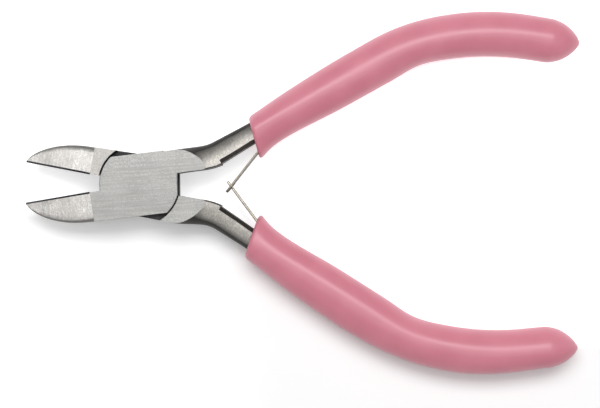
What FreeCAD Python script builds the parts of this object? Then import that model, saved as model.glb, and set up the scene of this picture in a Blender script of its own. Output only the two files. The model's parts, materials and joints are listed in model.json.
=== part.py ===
import FreeCAD, Part
import math
import os

# Side-cutting pliers with a box joint, an interlocking pair of leaf springs and sleeve grips.
# Millimetres. The pivot runs along Z, the handles point to +X and the jaws to -X. The flat back
# of the box joint lies in z = 0. The tool is drawn open, as its springs hold it.
#
# Each half is drawn in its own "shut" frame: pivot at the origin, cutting edge along -X, jaw on
# the -Y side and handle on the +Y side. The lower-handle half is then mirrored, and both halves
# are swung open about the pivot. Along a handle, a station is the distance along its centre line
# from the box, n is the offset towards the outside of the hand, and z is measured from mid-thickness.

# ---- how far the tool stands open -----------------------------------------------------------
half_opening = 10.0         # each half is swung this many degrees from shut

# ---- box joint ------------------------------------------------------------------------------
jaw_arc_radius = 7.6        # round shoulder between the two jaws
tang_arc_radius = 8.2       # round shoulder between the box and the lower tang
box_thickness = 8.0         # between the ground flats, front to back
cheek_thickness = 2.2       # each wall of the slot
slot_clearance = 0.05       # web to slot, each face
web_radius = 7.2            # round waist of the inner half
web_clearance = 0.05        # waist to the hollow ends of the slot
shoulder_gap = 0.13         # box shoulders to the hollowed shoulders of the inner half
shoulder_chamfer = 0.14
body_widening = 0.75        # the jaw-side edge flares by this much from the jaw to the tang
upper_body_edge = 5.9       # handle-side edge beside the pivot, from the centre line
lower_body_edge = 6.35
upper_body_taper = 0.038    # narrowing of that edge towards the tang, per mm
lower_body_taper = 0.0
tang_start = 8.0            # where the tang leaves the box
throat_tilt = 8.5           # degrees, flat end of the box between the tangs
throat_reach = 7.72         # distance of that flat from the pivot

# ---- pivot ----------------------------------------------------------------------------------
pivot_radius = 1.9
pivot_clearance = 0.03      # running fit in the web

# ---- jaws -----------------------------------------------------------------------------------
jaw_facet = 9.65            # distance from pivot to the line where the tapered jaw faces start
jaw_length = 13.45          # from that line to the point
jaw_tip_half = 1.2          # half thickness at the point
upper_half_jaw_width = 5.95 # at that line, on the half with the upper handle (it has the lower jaw)
lower_half_jaw_width = 5.5
jaw_curve_along = 2.15      # fullness of the outer curve
jaw_curve_across = 1.5
jaw_tip_share = 0.99        # where the curve is cut off to a blunt point
jaw_round_across = 0.27     # rounding of the outer edge, as a share of the local width
jaw_round_depth = 0.42      # and of the local half thickness
edge_gap = 0.02             # cutting edge to the centre line
heel_gap = 0.14             # behind the cutting edge
heel_reach = 0.5            # the jaw block runs back to this share of the waist radius
bevel_width = 0.38          # small front bevel of the cutting edge
bevel_depth = 0.5
relief_angle = 25.0         # hollow behind the edge, from the thickness direction

# ---- handle centre line ---------------------------------------------------------------------
tang_centre = 3.3           # offset from the centre line at the box
lead_length = 5.4           # straight, out of the box
bend_radius = 10.0
upper_bend = 20.1           # degrees. The lower handle is set a little wider than the upper one
lower_bend = 21.9
rise_length = 36.9          # straight run of the handle
palm_radius = 38.0          # first part of the palm curve
palm_turn = 18.0
end_radius = 55.0           # second, gentler part
end_turn = 20.0
tail_length = 16.0

# ---- tang: (station, value) knots -----------------------------------------------------------
tang_end = 76.0
tang_pitch = 2.0            # spacing of the sections
tang_root = 4.7             # how far the tang runs back into the box
upper_tang_outer = [(0.0, 2.2), (8.0, 2.2), (17.0, 2.05), (40.0, 2.4), (76.0, 2.0)]
lower_tang_outer = [(0.0, 3.05), (6.0, 2.35), (10.0, 2.1), (17.0, 2.05), (40.0, 2.4), (76.0, 2.0)]
tang_inner = [(0.0, 2.45), (8.5, 2.65), (15.5, 2.1), (40.0, 2.1), (76.0, 1.8)]
tang_crown = [(-4.7, 9.8), (0.0, 7.3), (2.5, 5.8), (5.8, 4.0), (10.0, 3.45), (16.0, 3.05), (40.0, 2.7), (76.0, 2.3)]
tang_round_n = [(-4.7, 0.8), (0.0, 1.6), (2.5, 4.1), (6.0, 4.4), (10.0, 4.2), (16.0, 3.6), (76.0, 3.1)]
tang_side = [(-4.7, 3.4), (0.0, 3.2), (2.8, 1.5), (4.6, 0.6), (7.0, 0.35), (76.0, 0.3)]
tang_corner = 0.2           # inner corners, beside the box
seat_start = 8.2            # station where the milled seat of the spring starts
seat_end = 24.0
seat_step = 0.22            # depth of the seat where it starts
seat_bevel = 0.75           # wide bevels along the seat

# ---- grips ----------------------------------------------------------------------------------
grip_mouth = 16.4           # station of the mouth
mouth_tilt = 14.0           # degrees, the mouth is cut nearly square to the tool, not to the tang
grip_run_on = 5.0           # blank ahead of the mouth, cut away
grip_clearance = 0.05       # bore around the tang
bore_end_play = 0.4         # bore beyond the end of the tang
grip_pitch = 3.6
upper_grip_length = 63.9    # mouth to the start of the rounded end
lower_grip_length = 65.15
upper_grip_outer = [(12.0, 2.9), (17.0, 3.15), (27.0, 4.0), (40.0, 4.55), (65.0, 4.65), (82.0, 4.35)]
lower_grip_outer = [(12.0, 3.7), (18.0, 3.85), (29.0, 4.8), (41.0, 5.2), (53.0, 4.75), (63.0, 4.75), (82.0, 3.8)]
grip_inner = [(12.0, 6.2), (15.3, 5.45), (19.0, 4.35), (23.0, 4.12), (35.0, 4.55), (46.0, 4.6)]
grip_inner += [(53.5, 4.03), (62.0, 4.3), (82.0, 4.5)]
grip_half = [(12.0, 3.8), (17.0, 3.9), (27.0, 4.2), (60.0, 4.3), (82.0, 4.1)]
end_steps = [(1.5, 0.93), (2.7, 0.83), (3.8, 0.68), (4.8, 0.49), (5.6, 0.29), (6.1, 0.12)]
end_lean = 0.3              # the blunt end leans to the outside

# ---- leaf springs ---------------------------------------------------------------------------
leaf_thickness = 0.45
leaf_width = 4.4
leaf_tip_width = 3.6
leaf_corner = 1.2           # bend radius at the foot
bend_station = 19.3         # where the arm leaves the tang
foot_length = 6.4
leaf_meet_x = 18.27         # where the two arms cross, on the open tool
leaf_meet_y = -0.26
leaf_past = 1.45            # slotted arm beyond the crossing
window_length = 2.0
window_width = 2.2
tongue_width = 1.6
tongue_length = 1.7
shoulder_play = 0.05        # tongue shoulders to the slotted arm
pocket_play = 0.3           # grip pocket around the leaf

# ---- leaf screws ----------------------------------------------------------------------------
screw_radius = 1.0          # M2
screw_hole_play = 0.1       # hole in the leaf
screw_depth = 2.6           # into the tang
screw_head_radius = 1.75
screw_head_height = 0.9
screw_slot_width = 0.4
screw_slot_depth = 0.4
screw_head_round = 0.3
screw_bottom_play = 0.2     # shank to the bottom of its hole
screw_back = 3.6            # distance from the bend to the screw

# ---- derived --------------------------------------------------------------------------------
half_thick = box_thickness / 2
slot_half = half_thick - cheek_thickness
web_half = slot_half - slot_clearance
BIG = 200.0
QUARTER_PULL = 0.5523       # length of the handles of a curve that follows a quarter circle
OUT = "parts"


def vec(x, y, z=0.0):
    return FreeCAD.Vector(x, y, z)


def knot_slope(knots, k):
    """Slope of the curve at a knot. It is level at the ends and where the values turn back."""
    if k == 0 or k == len(knots) - 1:
        return 0.0
    (s0, v0), (s1, v1), (s2, v2) = knots[k - 1 : k + 2]
    before = (v1 - v0) / (s1 - s0)
    after = (v2 - v1) / (s2 - s1)
    if before * after <= 0:
        return 0.0
    return 2 * before * after / (before + after)


def value(knots, at):
    """Smooth value through (station, value) knots, constant beyond the first and last."""
    if at <= knots[0][0]:
        return knots[0][1]
    for k in range(len(knots) - 1):
        (s0, v0), (s1, v1) = knots[k : k + 2]
        if at <= s1:
            span = s1 - s0
            t = (at - s0) / span
            u = 1 - t
            ends = v0 * u * u * (1 + 2 * t) + v1 * t * t * (1 + 2 * u)
            return ends + span * t * u * (knot_slope(knots, k) * u - knot_slope(knots, k + 1) * t)
    return knots[-1][1]


class CentreLine:
    """Straight runs and tangent arcs, followed by distance. Positive turns are to the left."""

    def __init__(self, x, y, runs):
        self.pieces = []
        heading = 0.0
        begin = 0.0
        for length, turn in runs:
            self.pieces.append((begin, length, x, y, heading, turn))
            x, y, heading = self.follow(x, y, heading, length, turn, length)
            begin += length

    @staticmethod
    def follow(x, y, heading, length, turn, go):
        if turn == 0.0:
            return x + go * math.cos(heading), y + go * math.sin(heading), heading
        radius = length / turn
        after = heading + go / radius
        x += radius * (math.sin(after) - math.sin(heading))
        y -= radius * (math.cos(after) - math.cos(heading))
        return x, y, after

    def at(self, station):
        for piece in reversed(self.pieces):
            if station >= piece[0]:
                break
        begin, length, x, y, heading, turn = piece
        return self.follow(x, y, heading, length, turn, station - begin)

    def point(self, station, n, z=0.0):
        x, y, heading = self.at(station)
        return vec(x - n * math.sin(heading), y + n * math.cos(heading), z)


class Half:
    """What differs between the two halves. side is 1 for the upper handle and -1 for the lower."""

    def __init__(self, side, bend_deg, jaw_width, body_edge, body_taper, tang_outer, grip_outer, grip_length):
        self.side = side
        self.line = handle_line(bend_deg)
        self.jaw_width = jaw_width
        self.body_edge = body_edge
        self.body_taper = body_taper
        self.tang_outer = tang_outer
        self.grip_outer = grip_outer
        self.grip_length = grip_length

    def jaw_side(self, x):
        """Distance from the centre line to the jaw-side edge of the body."""
        return self.jaw_width + body_widening * (x + jaw_facet) / (tang_start + jaw_facet)

    def handle_side(self, x):
        return self.body_edge - self.body_taper * x

    def seat(self, station, lift=0.0):
        """A point on the inner face of the tang, or lifted from it."""
        return self.line.point(station, -value(tang_inner, station) - lift)


def handle_line(bend_deg):
    bend = math.radians(bend_deg)
    palm = math.radians(palm_turn)
    end = math.radians(end_turn)
    runs = [
        (lead_length, 0.0),
        (bend_radius * bend, bend),
        (rise_length, 0.0),
        (palm_radius * palm, -palm),
        (end_radius * end, -end),
        (tail_length, 0.0),
    ]
    return CentreLine(tang_start, tang_centre, runs)


def closed(points):
    return Part.Face(Part.makePolygon(points + points[:1]))


def prism(points, low, high):
    """Polygon in plan, given as (x, y) pairs, between two heights."""
    face = closed([vec(x, y, low) for x, y in points])
    return face.extrude(vec(0, 0, high - low))


def cylinder(radius, low, high):
    return Part.makeCylinder(radius, high - low, vec(0, 0, low))


def quarter(centre, first, second):
    """Quarter of an ellipse about centre, from centre + first to centre + second."""
    curve = Part.BezierCurve()
    start = centre + first
    end = centre + second
    curve.setPoles([start, start + second * QUARTER_PULL, end + first * QUARTER_PULL, end])
    return curve.toShape()


def rounded_section(place, inner, outer, half, side, round_n, corner):
    """Section with bevelled inner corners and an outer side that rounds from the crown to side."""
    top = place(outer - round_n, half)
    right = place(outer, side)
    along = place(outer, half) - top
    up = top - place(outer - round_n, side)
    low_top = place(outer - round_n, -half)
    low_right = place(outer, -side)
    first = place(-inner, -(half - corner))
    second = place(-inner, half - corner)
    third = place(-inner + corner, half)
    last = place(-inner + corner, -half)
    edges = [
        Part.makeLine(first, second),
        Part.makeLine(second, third),
        Part.makeLine(third, top),
        quarter(top - up, up, along),
        Part.makeLine(right, low_right),
        quarter(low_top + up, along, up * -1),
        Part.makeLine(low_top, last),
        Part.makeLine(last, first),
    ]
    return Part.Wire(edges)


def tang_blank(half, grow=0.0):
    """Tang as forged, before its flats are ground. Grown by a clearance it is the bore of the grip."""
    begin = -tang_root
    count = round((tang_end - begin) / tang_pitch)
    stations = [begin + (tang_end - begin) * k / count for k in range(count + 1)]
    if grow > 0:
        stations.append(tang_end + bore_end_play)
    wires = []
    for station in stations:
        wires.append(
            rounded_section(
                lambda n, z, s=station: half.line.point(s, n, z),
                value(tang_inner, station) + grow,
                value(half.tang_outer, station) + grow,
                value(tang_crown, station) + grow,
                value(tang_side, station),
                value(tang_round_n, station),
                tang_corner,
            )
        )
    return Part.makeLoft(wires, True, False)


def seat_cutters(half):
    """Cutters for the milled spring seat: its floor, and the wide bevels along both of its edges."""
    deep = 4.0
    floor_end = tang_inner[2][0]
    start = half.seat(seat_start, -seat_step)
    end = half.seat(floor_end)
    start_out = half.seat(seat_start, deep)
    end_out = half.seat(floor_end, deep)
    outline = [(p.x, p.y) for p in (start, end, end_out, start_out)]
    cutters = [prism(outline, -box_thickness, box_thickness)]
    over = 1.0
    for sign in (1, -1):
        ends = []
        for station, sunk in ((seat_start, seat_step), (floor_end, 0.0), (seat_end, 0.0)):
            inner = value(tang_inner, station) - sunk
            crown = min(value(tang_crown, station), half_thick)
            corners = [
                (-inner - over, crown - seat_bevel - over),
                (-inner + seat_bevel + over, crown + over),
                (-inner - over, crown + over),
            ]
            points = [half.line.point(station, n, sign * z) for n, z in corners]
            ends.append(Part.makePolygon(points + points[:1]))
        cutters.append(Part.makeLoft(ends, True, True))
    return cutters


def jaw_half(x):
    """Half thickness of the jaw at a distance x ahead of the pivot."""
    share = (x - jaw_facet) / jaw_length
    return half_thick + (jaw_tip_half - half_thick) * share


def jaw_blank(width):
    """Jaw tapering to its point, with a rounded outer edge. width is its height at the facet line."""
    wires = []
    for share in (0.0, 0.1, 0.2, 0.3, 0.4, 0.5, 0.6, 0.7, 0.8, 0.88, 0.94, jaw_tip_share):
        x = jaw_facet + jaw_length * share
        local = width * (1 - share**jaw_curve_along) ** (1 / jaw_curve_across)
        thick = jaw_half(x)
        wires.append(
            rounded_section(
                lambda n, z, x=x: vec(-x, -n, z),
                -edge_gap,
                local,
                thick,
                thick * (1 - jaw_round_depth),
                local * jaw_round_across,
                edge_gap / 2,
            )
        )
    return Part.makeLoft(wires, True, False)


def jaw_cutter(begin, corners):
    """Straight-sided cutter along the jaw. corners(x) gives its section at a distance x from the pivot."""
    ends = []
    for x in (begin, jaw_facet + jaw_length + 1.0):
        points = [vec(-x, -u, z) for u, z in corners(x)]
        ends.append(Part.makePolygon(points + points[:1]))
    return Part.makeLoft(ends, True, True)


def bevel_corners(x):
    """Small bevel in front of the cutting edge."""
    edge = jaw_half(x) - bevel_depth
    slope = bevel_width / bevel_depth
    over = bevel_depth + 1.0
    return [(edge_gap, edge), (edge_gap + slope * over, edge + over), (-1.0, edge + over), (-1.0, edge)]


def relief_corners(x):
    """Slanting relief behind the cutting edge."""
    edge = jaw_half(x) - bevel_depth
    depth = edge + half_thick + 1.0
    lean = math.tan(math.radians(relief_angle))
    return [(edge_gap, edge), (edge_gap + lean * depth, edge - depth), (-1.0, edge - depth), (-1.0, edge)]


def jaw_block(half):
    """Jaw with its heel, which runs back into the box."""
    heel_end = -web_radius * heel_reach
    heel = prism(
        [
            (-jaw_facet, -heel_gap),
            (heel_end, -heel_gap),
            (heel_end, -half.jaw_side(heel_end)),
            (-jaw_facet, -half.jaw_width),
        ],
        -half_thick,
        half_thick,
    )
    jaw = jaw_blank(half.jaw_width).cut(jaw_cutter(jaw_facet, bevel_corners))
    return heel.fuse(jaw).cut(jaw_cutter(-heel_end, relief_corners))


def forged_half(half):
    """Jaw block and tang, with the seat milled and the tang ground flat front and back."""
    tang = tang_blank(half).cut(seat_cutters(half))
    slab = Part.makeBox(BIG, BIG, box_thickness, vec(-BIG / 2, -BIG / 2, -half_thick))
    return jaw_block(half), tang.common(slab)


def body_strip(half, left, right, low, high):
    """Plate between the two long edges of the body, from x = left to x = right."""
    return prism(
        [
            (left, -half.jaw_side(left)),
            (right, -half.jaw_side(right)),
            (right, half.handle_side(right)),
            (left, half.handle_side(left)),
        ],
        low,
        high,
    )


def broken_disc(radius):
    """Disc as thick as the box, with broken rims."""
    c = shoulder_chamfer
    h = half_thick
    rim = [(0, -h), (radius - c, -h), (radius, -h + c), (radius, h - c), (radius - c, h), (0, h)]
    return closed([vec(r, 0, z) for r, z in rim]).revolve(vec(0, 0, 0), vec(0, 0, 1), 360)


def box_body(half):
    """Box of the slotted half: a round shoulder at each end, and flat where the two tangs part."""
    front = body_strip(half, -jaw_arc_radius, 0.0, -half_thick, half_thick)
    rear = body_strip(half, 0.0, tang_start, -half_thick, half_thick)
    throat = Part.makeBox(BIG, BIG, BIG, vec(throat_reach, -BIG / 2, -BIG / 2))
    throat.rotate(vec(0, 0, 0), vec(0, 0, 1), -throat_tilt)
    front = front.common(broken_disc(jaw_arc_radius))
    rear = rear.common(broken_disc(tang_arc_radius)).cut(throat)
    return front.fuse(rear)


def shoulder_cutter(radius, sign):
    """Clears the inner half's full thickness around one cheek and breaks the rim of its hollow shoulder."""
    reach = radius + shoulder_gap
    c = shoulder_chamfer
    rim = [
        (0, web_half),
        (reach, web_half),
        (reach, half_thick - c),
        (reach + c, half_thick),
        (reach + c, half_thick + 1),
        (0, half_thick + 1),
    ]
    face = closed([vec(r, 0, sign * z) for r, z in rim])
    return face.revolve(vec(0, 0, 0), vec(0, 0, 1), 360)


def box_half(half):
    """Half with the slotted box: the other half's waist passes between its two cheeks."""
    jaw, tang = forged_half(half)
    body = box_body(half).fuse([jaw, tang])
    reach = tang_arc_radius + 1.0
    throat_low = tang_centre - value(tang_inner, 0.0)
    slot = [
        cylinder(web_radius + web_clearance, -slot_half, slot_half),
        prism([(-reach, -heel_gap), (0, -heel_gap), (0, reach), (-reach, reach)], -slot_half, slot_half),
        prism([(0, -reach), (reach, -reach), (reach, throat_low), (0, throat_low)], -slot_half, slot_half),
    ]
    return body.cut(slot + [cylinder(pivot_radius, -half_thick, half_thick)])


def inner_half(half):
    """Half whose thin round waist runs through the box."""
    jaw, tang = forged_half(half)
    for sign in (1, -1):
        jaw = jaw.cut(shoulder_cutter(jaw_arc_radius, sign))
        tang = tang.cut(shoulder_cutter(tang_arc_radius, sign))
    waist = cylinder(web_radius, -web_half, web_half)
    waist = waist.common(body_strip(half, -web_radius, web_radius, -web_half, web_half))
    body = waist.fuse([jaw, tang])
    return body.cut(cylinder(pivot_radius + pivot_clearance, -half_thick, half_thick))


def screw_frame(half):
    """Centre of the screw on the tang's inner face, the way it points out, and the way along the tang."""
    station = bend_station + screw_back
    outwards = half.line.point(station, -1) - half.line.point(station, 0)
    along = half.line.point(station + 1, 0) - half.line.point(station, 0)
    return half.seat(station), outwards, along.normalize()


def screw_hole(half):
    seat, outwards, _ = screw_frame(half)
    return Part.makeCylinder(screw_radius, screw_depth + 1.0, seat - outwards * screw_depth, outwards)


def leaf_screw(half):
    """Slotted cheese-head screw. Its shank stops short of the bottom of the hole."""
    seat, outwards, along = screw_frame(half)
    in_tang = screw_depth - screw_bottom_play
    shank = Part.makeCylinder(screw_radius, in_tang + leaf_thickness, seat - outwards * in_tang, outwards)
    under_head = seat + outwards * leaf_thickness
    head = Part.makeCylinder(screw_head_radius, screw_head_height, under_head, outwards)
    top = under_head + outwards * screw_head_height
    rim = [e for e in head.Edges if isinstance(e.Curve, Part.Circle) and (e.Curve.Center - top).Length < 0.01]
    head = head.makeFillet(screw_head_round, rim)
    blade = Part.makeBox(screw_slot_width, BIG, BIG, vec(-screw_slot_width / 2, -BIG / 2, 0))
    blade.Placement = FreeCAD.Placement(
        top - outwards * screw_slot_depth, FreeCAD.Rotation(along, vec(0, 0, 1), outwards, "ZXY")
    )
    return shank.fuse(head).cut(blade)


def opened(point, side):
    """A point of the shut half as it lies on the open tool, in plan."""
    angle = math.radians(half_opening) * side
    x = point.x
    y = point.y * side
    return vec(x * math.cos(angle) - y * math.sin(angle), x * math.sin(angle) + y * math.cos(angle))


def shut(point, side):
    """The reverse of opened."""
    angle = -math.radians(half_opening) * side
    x = point.x * math.cos(angle) - point.y * math.sin(angle)
    y = point.x * math.sin(angle) + point.y * math.cos(angle)
    return vec(x, y * side)


def leaf_axes(half):
    """Bend of the leaf's middle surface, where it crosses the other leaf, and the way from one to the other."""
    bend = half.seat(bend_station, leaf_thickness / 2)
    cross = shut(vec(leaf_meet_x, leaf_meet_y), half.side)
    return bend, cross, (cross - bend).normalize()


def crossing_sine():
    """Sine of the angle between the two arms where they cross."""
    meet = vec(leaf_meet_x, leaf_meet_y)
    ways = [(meet - opened(half.seat(bend_station, leaf_thickness / 2), half.side)) for half in (upper, lower)]
    return abs(ways[0].normalize().cross(ways[1].normalize()).z)


def bent_strip(start, bend, end):
    """Flat spring strip whose middle runs from start to end, with a round bend between."""
    way_in = (bend - start).normalize()
    way_out = (end - bend).normalize()
    left = 1.0 if way_in.cross(way_out).z > 0 else -1.0
    trim = leaf_corner * math.tan(way_in.getAngle(way_out) / 2)
    normal_in = vec(-way_in.y, way_in.x)
    normal_out = vec(-way_out.y, way_out.x)
    before = bend - way_in * trim
    after = bend + way_out * trim
    centre = before + normal_in * left * leaf_corner
    middle = (normal_in + normal_out).normalize()
    sides = []
    for offset in (leaf_thickness / 2, -leaf_thickness / 2):
        crest = centre - middle * left * (leaf_corner - left * offset)
        ends = [start + normal_in * offset, before + normal_in * offset]
        ends += [after + normal_out * offset, end + normal_out * offset]
        arc = Part.Arc(ends[1], crest, ends[2]).toShape()
        sides.append([Part.makeLine(ends[0], ends[1]), arc, Part.makeLine(ends[2], ends[3])])
    caps = []
    for point, normal in ((start, normal_in), (end, normal_out)):
        caps.append(Part.makeLine(point + normal * leaf_thickness / 2, point - normal * leaf_thickness / 2))
    face = Part.Face(Part.Wire(Part.__sortEdges__(sides[0] + sides[1] + caps)))
    face.translate(vec(0, 0, -leaf_width / 2))
    return face.extrude(vec(0, 0, leaf_width))


def arm_block(bend, way, corners):
    """Block across an arm. Each corner is a distance beyond the bend and a height."""
    reach = 1.5
    normal = vec(-way.y, way.x)
    face = closed([bend + way * along - normal * reach + vec(0, 0, z) for along, z in corners])
    return face.extrude(normal * 2 * reach)


def leaf(half):
    """Leaf spring. The upper one has a window, and the tongue of the lower one passes through it."""
    bend, cross, way = leaf_axes(half)
    reach = (cross - bend).Length
    foot_end = half.seat(bend_station + foot_length, leaf_thickness / 2)
    shoulder = reach - (leaf_thickness / 2 + shoulder_play) / crossing_sine() - leaf_thickness / 2
    length = reach + leaf_past if half.side > 0 else shoulder + tongue_length
    body = bent_strip(foot_end, bend, bend + way * length)
    cutters = []
    begin = leaf_corner
    end = length + 1
    for sign in (1, -1):
        root = sign * leaf_width / 2
        tip = sign * leaf_tip_width / 2
        out = sign * leaf_width
        cutters.append(arm_block(bend, way, [(begin, root), (end, tip), (end, out), (begin, out)]))
        if half.side < 0:
            flank = sign * tongue_width / 2
            cutters.append(
                arm_block(bend, way, [(shoulder, flank), (end, flank), (end, out), (shoulder, out)])
            )
    if half.side > 0:
        first = reach - window_length / 2
        last = reach + window_length / 2
        low = -window_width / 2
        high = window_width / 2
        cutters.append(arm_block(bend, way, [(first, low), (last, low), (last, high), (first, high)]))
    seat, outwards, _ = screw_frame(half)
    hole = Part.makeCylinder(screw_radius + screw_hole_play, 4, seat - outwards * 2, outwards)
    return body.cut(cutters + [hole])


def leaf_pocket(half):
    """Room in the grip for the foot of the leaf, for its arm at rest and swung in, and for the screw head."""
    bend, _, way = leaf_axes(half)
    play = pocket_play
    foot = bend_station + foot_length + play
    across = vec(-way.y, way.x)
    if across.dot(half.line.point(bend_station, 1) - bend) > 0:
        across = across * -1
    beyond = (bend - half.seat(grip_mouth - grip_run_on)).Length + grip_run_on
    beside = bend + across * (leaf_thickness / 2 + play)
    corners = [
        half.seat(foot, -play),
        half.seat(foot, leaf_thickness + play),
        beside,
        beside + way * beyond,
        half.seat(grip_mouth - grip_run_on, -play),
    ]
    tall = leaf_width / 2 + play
    pocket = prism([(p.x, p.y) for p in corners], -tall, tall)
    seat, outwards, _ = screw_frame(half)
    height = leaf_thickness + screw_head_height + play
    head = Part.makeCylinder(screw_head_radius + play, height, seat, outwards)
    return [pocket, head]


def grip_section(half, station, profile, scale):
    """Oval section about the handle's centre line, with the size it has at the station profile."""
    outer = value(half.grip_outer, profile) * scale
    inner = value(grip_inner, profile) * scale
    tall = value(grip_half, profile) * scale
    centre = half.line.point(station, end_lean * (1 - scale))
    out = half.line.point(station, end_lean * (1 - scale) + 1) - centre
    up = vec(0, 0, 1)
    turns = [up * tall, out * outer, up * -tall, out * -inner]
    edges = []
    for first, second in zip(turns, turns[1:] + turns[:1]):
        edges.append(quarter(centre, first, second))
    return Part.Wire(edges)


def grip(half):
    """Moulded sleeve with an oval section, a slanting mouth and a blunt rounded end."""
    begin = grip_mouth - grip_run_on
    end = grip_mouth + half.grip_length
    count = round((end - begin) / grip_pitch)
    wires = []
    for k in range(count + 1):
        station = begin + (end - begin) * k / count
        wires.append(grip_section(half, station, station, 1.0))
    for further, scale in end_steps:
        wires.append(grip_section(half, end + further, end, scale))
    mouth = Part.makeBox(BIG, BIG, BIG, vec(-BIG, -BIG / 2, -BIG / 2))
    heading = math.degrees(half.line.at(grip_mouth)[2])
    mouth.rotate(vec(0, 0, 0), vec(0, 0, 1), heading - mouth_tilt)
    mouth.translate(half.line.point(grip_mouth, 0))
    bore = tang_blank(half, grip_clearance)
    return Part.makeLoft(wires, True, False).cut([mouth, bore] + leaf_pocket(half))


def placed(shape, side):
    """Mirrors the lower half, swings the half open and lifts the back of the box to z = 0."""
    made = max(shape.removeSplitter().Solids, key=lambda s: s.Volume)
    if side < 0:
        made = made.mirror(vec(0, 0, 0), vec(0, 1, 0))
    made.rotate(vec(0, 0, 0), vec(0, 0, 1), half_opening * side)
    made.translate(vec(0, 0, half_thick))
    return made


def save(name, shape):
    if not shape.isValid():
        raise RuntimeError(name + " is not a valid solid")
    shape.exportStep(os.path.join(OUT, name + ".step"))


upper = Half(
    1, upper_bend, upper_half_jaw_width, upper_body_edge, upper_body_taper,
    upper_tang_outer, upper_grip_outer, upper_grip_length,
)
lower = Half(
    -1, lower_bend, lower_half_jaw_width, lower_body_edge, lower_body_taper,
    lower_tang_outer, lower_grip_outer, lower_grip_length,
)
os.makedirs(OUT, exist_ok=True)

save("box_half", placed(box_half(upper).cut(screw_hole(upper)), upper.side))
save("inner_half", placed(inner_half(lower).cut(screw_hole(lower)), lower.side))
save("pivot_rivet", placed(cylinder(pivot_radius, -half_thick, half_thick), upper.side))
for name, half in (("upper", upper), ("lower", lower)):
    save(name + "_leaf_spring", placed(leaf(half), half.side))
    save(name + "_spring_screw", placed(leaf_screw(half), half.side))
    save(name + "_grip", placed(grip(half), half.side))
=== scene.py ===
import json
import math

import bmesh
import bpy
from mathutils import Matrix, Vector


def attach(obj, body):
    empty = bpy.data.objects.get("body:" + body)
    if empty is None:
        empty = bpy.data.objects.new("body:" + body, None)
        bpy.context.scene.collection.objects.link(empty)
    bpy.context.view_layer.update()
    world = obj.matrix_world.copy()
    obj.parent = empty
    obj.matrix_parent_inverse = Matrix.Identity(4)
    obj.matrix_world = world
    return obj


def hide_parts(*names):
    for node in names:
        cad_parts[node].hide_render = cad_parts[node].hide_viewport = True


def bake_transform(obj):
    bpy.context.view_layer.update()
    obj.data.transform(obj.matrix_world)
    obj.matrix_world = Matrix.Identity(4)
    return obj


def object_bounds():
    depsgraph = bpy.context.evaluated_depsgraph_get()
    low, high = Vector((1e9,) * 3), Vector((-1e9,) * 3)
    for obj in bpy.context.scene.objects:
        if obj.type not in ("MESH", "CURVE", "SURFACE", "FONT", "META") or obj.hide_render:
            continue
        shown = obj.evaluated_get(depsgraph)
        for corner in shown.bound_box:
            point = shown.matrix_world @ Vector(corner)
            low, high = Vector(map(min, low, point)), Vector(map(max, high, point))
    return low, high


bl_info = {
    "name": "Side-Cutting Pliers",
    "version": (1, 0, 0),
    "blender": (4, 5, 0),
    "location": "3D View > Sidebar > Pliers",
    "description": "Finishes box-joint side cutters: ground steel, crossed leaf springs and moulded sleeves",
    "category": "Object",
}

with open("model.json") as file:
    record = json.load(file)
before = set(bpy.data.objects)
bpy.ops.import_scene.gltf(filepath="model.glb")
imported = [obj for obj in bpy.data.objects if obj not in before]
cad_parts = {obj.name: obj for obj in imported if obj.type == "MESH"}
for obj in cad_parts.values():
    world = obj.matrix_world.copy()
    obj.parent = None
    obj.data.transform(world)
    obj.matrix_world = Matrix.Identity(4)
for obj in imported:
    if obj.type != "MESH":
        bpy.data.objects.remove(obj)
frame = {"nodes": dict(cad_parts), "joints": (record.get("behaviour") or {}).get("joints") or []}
cad_box = [list(corner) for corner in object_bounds()]

MM = 0.001
UP = Vector((0, 0, 1))
UPPER = 1                   # side of the half that carries the upper handle
LOWER = -1
SAME_POINT = 1e-7           # points closer than this are one point


# ---- sizes and colours a user may change -----------------------------------------------------

def length(name, description, default):
    return bpy.props.FloatProperty(
        name=name, description=description, default=default, min=0.0, precision=5, unit="LENGTH"
    )


def angle(name, description, degrees):
    return bpy.props.FloatProperty(
        name=name, description=description, default=math.radians(degrees), subtype="ANGLE"
    )


def colour(name, description, default):
    return bpy.props.FloatVectorProperty(
        name=name, description=description, default=default, size=3, min=0.0, max=1.0, subtype="COLOR"
    )


def share(name, description, default, top=1.0):
    return bpy.props.FloatProperty(
        name=name, description=description, default=default, min=0.0, max=top, subtype="FACTOR"
    )


class SteelSettings(bpy.types.PropertyGroup):
    half_opening: angle("Half opening", "Each half is swung this far from shut", 10.0)
    thickness: length("Thickness", "Box joint, between the ground flats", 8.0 * MM)
    facet: length("Facet line", "Pivot to the line where the tapered jaw faces start", 9.65 * MM)
    tang_start: length("Tang start", "Pivot to where the tang leaves the box", 8.0 * MM)
    rim_inside: length("Rim", "Nearest broken rim of a shoulder to the pivot", 7.3 * MM)
    rim_outside: length("Outer rim", "Furthest broken rim of a shoulder from the pivot", 8.7 * MM)
    plate: colour("Ground flat", "Steel of the ground box flats", (0.287, 0.284, 0.275))
    heel: colour("Heel", "Flat of the jaw that lies beside the box", (0.385, 0.372, 0.355))
    # The jaw tone is far lighter than the ground flat: partly its own cross grinding, partly painted light
    # for tapered faces that look brighter because of how they face the light.
    jaw: colour("Jaw", "Steel of the tapered jaw faces", (0.78, 0.743, 0.712))
    tang: colour("Tang", "Belt-finished steel of the tangs", (0.46, 0.44, 0.408))
    scale: colour("Forging scale", "Dark skin left inside the joint", (0.010, 0.010, 0.011))


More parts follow.
